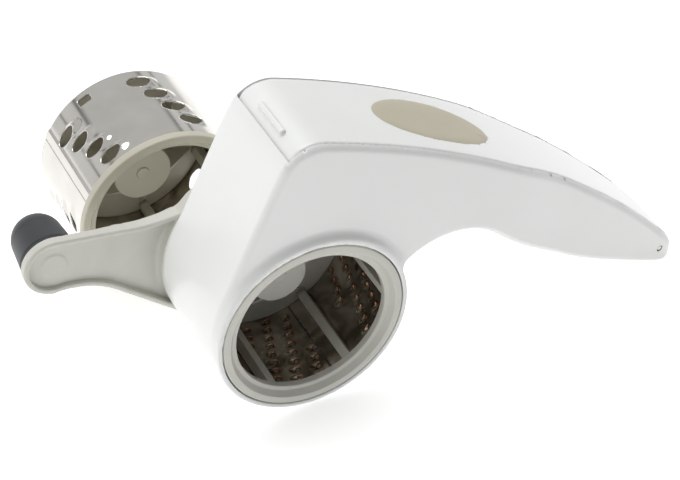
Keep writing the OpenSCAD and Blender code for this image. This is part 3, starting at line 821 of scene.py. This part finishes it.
for kind, body, at, material, slot, turn, disc_r, disc_y in drums:
    field = carrier_field(turn, disc_r, disc_y)
    points, faces, normals = zero_surface(field, (-33, disc_y, -33), (33, drum_len + 1, 33), 0.75)
    add_piece(kind + "_carrier_moulding", points + at, faces, material, body, [kind + "_carrier"],
              normals)
    back_y = disc_y + cap_t
    outline = [(0, disc_y - 0.3), (dot_r - 0.6, disc_y - 0.3), (dot_r - 0.3, disc_y - 0.38),
               (dot_r, disc_y - 0.3), (dot_r + 0.1, disc_y + 0.2), (dot_r + 0.45, disc_y + 0.2),
               (dot_r + 0.6, disc_y), (disc_r - 0.45, disc_y), (disc_r - 0.12, disc_y + 0.12),
               (disc_r, disc_y + 0.45), (disc_r, back_y - 0.2), (disc_r - 0.2, back_y), (0, back_y)]
    points, faces = lathe(outline, 96, at, closed=False)
    flatten_shading(outward(add_piece(kind + "_hub_cap_disc", points, faces, material, body,
                                      [kind + "_hub_cap"])))

# ---- Grating sheets ----
# Each drum's working surface is a thin stainless sheet, punched flat and rolled into a tube. On the
# rasp every hole has a raised dimple before it; on the slicer every slot has a raised lip.
rasp_cols, rasp_rows, rasp_pitch, rasp_y0 = 26, 9, 4.2, 5.6
rasp_seam, rasp_twist = -70.8, 0.546
slot_groups, slots_each, slot_pitch, slot_y0 = 6, 4, 8.4, 13.0
slot_a0, slot_step_a, slot_l, slot_w = 63.3, 6.1, 9.0, 6.0
seam_a = 156.0
tab_at, tab_half = (118.0, 40.8), (2.65, 1.85)


def rolled_sheet(shape, cell, start_a, radius):
    """A punched sheet on a grid of (angle, y): shape(angle, y) gives how far each point is raised and
    its distance from the nearest hole. Points within half a cell of a hole's edge are moved on to
    it, quads are split along the diagonal that has more such points, and what lies inside a hole is
    left out. Returns points, faces and, for the painted reflection round the holes,
    exp(-distance to a hole / 0.3 mm)."""
    count_a, count_y = int(2 * np.pi * radius / cell), int((drum_len - seat_y) / cell)
    angle = start_a + np.linspace(0.25, 359.75, count_a + 1)
    along = np.linspace(seat_y, drum_len, count_y + 1)
    a, y = (g.ravel() for g in np.meshgrid(angle, along, indexing="ij"))
    per_mm = 180 / (np.pi * radius)
    _, d = shape(a, y)
    near = np.abs(d) < 0.55 * cell
    for _ in range(3):
        step = 0.02
        _, d0 = shape(a[near], y[near])
        da = (shape(a[near] + step * per_mm, y[near])[1] - d0) / step
        dy = (shape(a[near], y[near] + step)[1] - d0) / step
        size = np.maximum(da**2 + dy**2, 0.2)
        a[near] -= d0 * da / size * per_mm
        y[near] = np.clip(y[near] - d0 * dy / size, seat_y, drum_len)
    lift, d = shape(a, y)
    d[near] = 0
    row, col = np.meshgrid(np.arange(count_a), np.arange(count_y), indexing="ij")
    q = (row * (count_y + 1) + col).ravel()
    q = np.stack([q, q + 1, q + count_y + 2, q + count_y + 1], -1)
    first = near[q[:, 0]].astype(int) + near[q[:, 2]] >= near[q[:, 1]].astype(int) + near[q[:, 3]]
    whole = (d[q] > 0).all(1)
    t1 = np.where(first[:, None], q[:, [0, 1, 2]], q[:, [0, 1, 3]])[~whole]
    t2 = np.where(first[:, None], q[:, [0, 2, 3]], q[:, [1, 2, 3]])[~whole]
    t = np.vstack([t1, t2])
    t = t[(d[t] > -0.02).all(1) & (d[t].sum(1) > 1e-6)]
    rr, turn = radius + lift, np.radians(a)
    p = np.stack([rr * np.cos(turn), y, rr * np.sin(turn)], -1)
    used = np.zeros(len(p), bool)
    used[q[whole].ravel()] = True
    used[t.ravel()] = True
    number = np.cumsum(used) - 1
    return p[used], number[q[whole]].tolist() + number[t].tolist(), np.exp(-np.maximum(d[used], 0) / 0.3)


def rasp_shape(a, y):
    """Dimples in slanted columns. In a dimple's own place u is along the circumference and v along
    the drum: it rises as 1 - (u / 2.6)^2 - (v / 1.7)^2 towards its hole, an oval at its far end."""
    k = np.round((a - rasp_seam - rasp_twist * y) / (360 / rasp_cols))
    n = np.clip(np.round((y - rasp_y0) / rasp_pitch - (k % 2) / 2), 0, rasp_rows - 1)
    at_y = rasp_y0 + rasp_pitch * (n + (k % 2) / 2)
    at_a = rasp_seam + k * 360 / rasp_cols + rasp_twist * at_y
    bare = (k <= 0) | (k >= rasp_cols) | ((k == 1) & (n < rasp_rows / 2)) | (
        (k == rasp_cols - 1) & (n > rasp_rows / 2 - 1))
    u, v = (a - at_a) * np.pi * sheet_r / 180, y - at_y
    bowl = np.maximum(1 - ((u + 0.4) / 2.6) ** 2 - (v / 1.7) ** 2, 0)
    lift = 0.88 * bowl * (0.5 + 0.5 * smooth((u + 2.4) / 3))
    size = np.hypot((u - 0.95) / 0.9, v / 1.1)
    return np.where(bare, 0, lift), np.where(bare, 3, (size - 1) * 0.95)


def slicing_shape(a, y):
    """Slots in six slanted groups, each an oval. A lip rises at the slot's first end. The sheet's
    ends overlap along the drum, and a square window near the back holds the sheet's tab."""
    lift, hole = np.zeros_like(a), np.full_like(a, 9.0)
    for g in range(slot_groups):
        for n in range(slots_each):
            at_y = slot_y0 - (g % 2) * slot_pitch / 2 + slot_pitch * n
            at_a = slot_a0 + g * 360 / slot_groups + slot_step_a * n
            u = ((a - at_a + 180) % 360 - 180) * np.pi * sheet_r / 180
            v = y - at_y
            size = np.hypot(2 * u / slot_l, 2 * v / slot_w) + 1e-6
            slope = np.hypot(4 * u / slot_l**2, 4 * v / slot_w**2) + 1e-6
            hole = np.minimum(hole, (size - 1) * size / slope)
            bowl = np.maximum(1 - ((u + 3.4) / 4.6) ** 2 - (v / 3.3) ** 2, 0)
            lift = np.maximum(lift, 0.88 * bowl)
    u = ((a - tab_at[0] + 180) % 360 - 180) * np.pi * sheet_r / 180
    v = y - tab_at[1]
    window = np.maximum(np.abs(u) - tab_half[0], np.abs(v) - tab_half[1])
    overlap = 0.3 * smooth((a - seam_a - 353) / 0.8)
    return np.maximum(lift, overlap), np.minimum(hole, window)


# Stainless sheet, bright-annealed: a mirror with a very slight roll texture that runs along the
# drum, a slow swell from the rolling and a few faint smudges.
steel, tree, shader, place = add_material("bright_annealed_stainless", {"Metallic": 1.0})
drawn = add_node(tree, "Mapping", {"Scale": (600.0, 40.0, 600.0)}, Vector=place)
lines = add_node(tree, "TexNoise", {"Scale": 1.0, "Detail": 3.0}, Vector=drawn)
smudge = add_node(tree, "TexNoise", {"Scale": 70, "Detail": 4.0}, Vector=place)
waves = add_node(tree, "TexNoise", {"Scale": 24, "Detail": 0.0}, Vector=place)
tint = add_node(tree, "ValToRGB", {"stops": [(0, "#c3c0ba"), (1, "#d9d7d2")]}, Fac=smudge)
polish = add_node(tree, "MapRange", {"To Min": 0.05, "To Max": 0.16}, Value=smudge)
relief = add_node(tree, "Bump", {"Strength": 0.04, "Distance": 0.0002}, Height=lines)
swell = add_node(tree, "Bump", {"Strength": 0.12, "Distance": 0.002}, Height=waves, Normal=relief)
feed(tree, shader, Base_Color=tint, Roughness=polish, Normal=swell)

# Inside the drum the same sheet is dulled and tinted a darker brown in swirls, painted shade and brown
# reflection, and orange-brown round the holes, a painted reflection of what lies behind them.
inside_steel_painted, tree, shader, place = add_material("inside_stainless_painted_shade_and_reflection", {"Metallic": 1.0})
swirl_noise = add_node(tree, "TexNoise", {"Scale": 70, "Detail": 2.0, "Distortion": 0.8}, Vector=place)
tint = add_node(tree, "ValToRGB", {"stops": [(0.35, "#857b6d"), (0.65, "#cfc7ba")]}, Fac=swirl_noise)
# Round the holes the colour is mixed towards orange-brown, a painted reflection of what lies behind them.
hole_reflection_amount = add_node(tree, "Attribute", {"attribute_name": "grease"})
hole_reflection_settings = {"data_type": "RGBA", 7: colour("#c07a3c")}
with_hole_reflection = add_node(tree, "Mix", hole_reflection_settings, _0=hole_reflection_amount.outputs["Fac"], _6=tint)
polish = add_node(tree, "MapRange", {"To Min": 0.08, "To Max": 0.2}, Value=swirl_noise)
waves = add_node(tree, "TexNoise", {"Scale": 90, "Detail": 1.0}, Vector=place)
swell = add_node(tree, "Bump", {"Strength": 0.4, "Distance": 0.0012}, Height=waves)
feed(tree, shader, Base_Color=with_hole_reflection.outputs[2], Roughness=polish, Normal=swell)

sheets = [("rasp", "rasp_drum", np.zeros(3), rasp_shape, 0.45, rasp_seam),
          ("slicing", "spare_drum", spare_at, slicing_shape, 0.55, seam_a)]
for kind, body, at, shape, cell, start_a in sheets:
    points, faces, near_hole = rolled_sheet(shape, cell, start_a, sheet_r)
    made = add_piece(kind + "_sheet_rolled", points + at, faces, steel, body,
                     [kind + "_sheet"])
    # The sheet's inner face takes the second material, with its painted shade and brown reflection.
    made.data.materials.append(inside_steel_painted)
    # Only the rasp's holes get the painted orange-brown reflection; the slicer's sheet gets none.
    grease = made.data.attributes.new("grease", "FLOAT", "POINT")
    grease.data.foreach_set("value", near_hole if kind == "rasp" else 0 * near_hole)
    thick = made.modifiers.new("sheet_thickness", "SOLIDIFY")
    thick.thickness = sheet_t * 0.001
    thick.offset = -1.0
    thick.use_even_offset = True
    thick.material_offset = 1

# ---- Table, light and camera ----
# A plain white table, a soft white surround and two large soft lamps.
azimuth, elevation, roll = -27.2, 40.39, 0.83       # degrees
distance, focal = 0.6791, 105.88                    # metres and millimetres
aim_right, aim_up = 0.00863, 0.02934                # metres from the drum's mouth to the view's centre
a, e, t = (math.radians(v) for v in (azimuth, elevation, roll))
back = np.array([math.sin(a) * math.cos(e), -math.cos(a) * math.cos(e), math.sin(e)])
level = np.array([math.cos(a), math.sin(a), 0.0])
rise = np.cross(back, level)
right, up = level * math.cos(t) + rise * math.sin(t), rise * math.cos(t) - level * math.sin(t)
camera = bpy.data.objects.new("camera", bpy.data.cameras.new("camera"))
bpy.context.scene.collection.objects.link(camera)
where = drum_axis + aim_right * right + aim_up * up + distance * back
turned = [[right[k], up[k], back[k], where[k]] for k in range(3)]
camera.matrix_world = Matrix(turned + [[0, 0, 0, 1]])
camera.data.lens = focal
camera.data.sensor_width = 36.0
camera.data.clip_start = 0.01
bpy.context.scene.camera = camera

paper, *_ = add_material("white_table", {
    "Base Color": colour("#fcfcfc"), "Roughness": 0.9,
    "Emission Color": (1.0, 1.0, 1.0, 1.0), "Emission Strength": 0.5})
table_half = 3.0
top = bpy.data.meshes.new("table")
top.from_pydata([(x * table_half, y * table_half, 0) for x, y in ((-1, -1), (1, -1), (1, 1), (-1, 1))], [],
                [(0, 1, 2, 3)])
top.materials.append(paper)
table = bpy.data.objects.new("table", top)
bpy.context.scene.collection.objects.link(table)

# The surround is a white tent, bright above and behind and dim where the viewer stands, with the
# thin dark edges of its panels, which show only in polished steel.
world = bpy.data.worlds.new("surround")
world.use_nodes = True
tree = world.node_tree
shell = tree.nodes["Background"]
shell.inputs["Color"].default_value = (1.0, 1.0, 1.0, 1.0)
way = add_node(tree, "TexCoord").outputs["Generated"]
ahead = add_node(tree, "VectorMath", {"operation": "DOT_PRODUCT", 1: (0.35, -0.9, 0.1)}, _0=way)
dim = add_node(tree, "MapRange", {
    "interpolation_type": "SMOOTHSTEP", "From Min": -0.25, "From Max": 0.75, "To Min": 0.8, "To Max": 0.24},
    Value=ahead.outputs["Value"])
height = add_node(tree, "SeparateXYZ", {}, Vector=way)
folds = add_node(tree, "TexNoise", {"Scale": 1.7, "Detail": 1.0, "Distortion": 0.5}, Vector=way)
swayed = add_node(tree, "Math", {"operation": "MULTIPLY_ADD", 1: 0.5}, _0=folds, _2=height.outputs["Z"])
edges = add_node(tree, "ValToRGB", {"stops": [
    (0, 1.0), (0.42, 1.0), (0.44, 0.05), (0.455, 0.05), (0.48, 1.0), (0.66, 1.0), (0.69, 0.08), (0.70, 0.3),
    (0.74, 0.85), (1, 0.85)]}, Fac=swayed)
both = add_node(tree, "Math", {"operation": "MULTIPLY"}, _0=dim, _1=edges)
feed(tree, shell, Strength=both)
bpy.context.scene.world = world


def add_lamp(name, at, towards, size, power):
    """A round area lamp of a size in metres and a power in watts that faces a point."""
    lamp = bpy.data.lights.new(name, "AREA")
    lamp.shape = "DISK"
    lamp.size = size
    lamp.energy = power
    made = bpy.data.objects.new(name, lamp)
    bpy.context.scene.collection.objects.link(made)
    back = unit(np.array(at) - np.array(towards))
    side = unit(np.cross([0, 0, 1], back))
    over = np.cross(back, side)
    made.matrix_world = Matrix([[side[k], over[k], back[k], at[k]] for k in range(3)] + [[0, 0, 0, 1]])
    return made


add_lamp("key_lamp", (-0.85, -0.1, 0.7), (0, 0, 0.04), 0.5, 0.75)
add_lamp("top_lamp", (0.0, 0.35, 1.1), (0, 0, 0.04), 0.8, 6.0)
bpy.context.scene.view_settings.view_transform = "Standard"
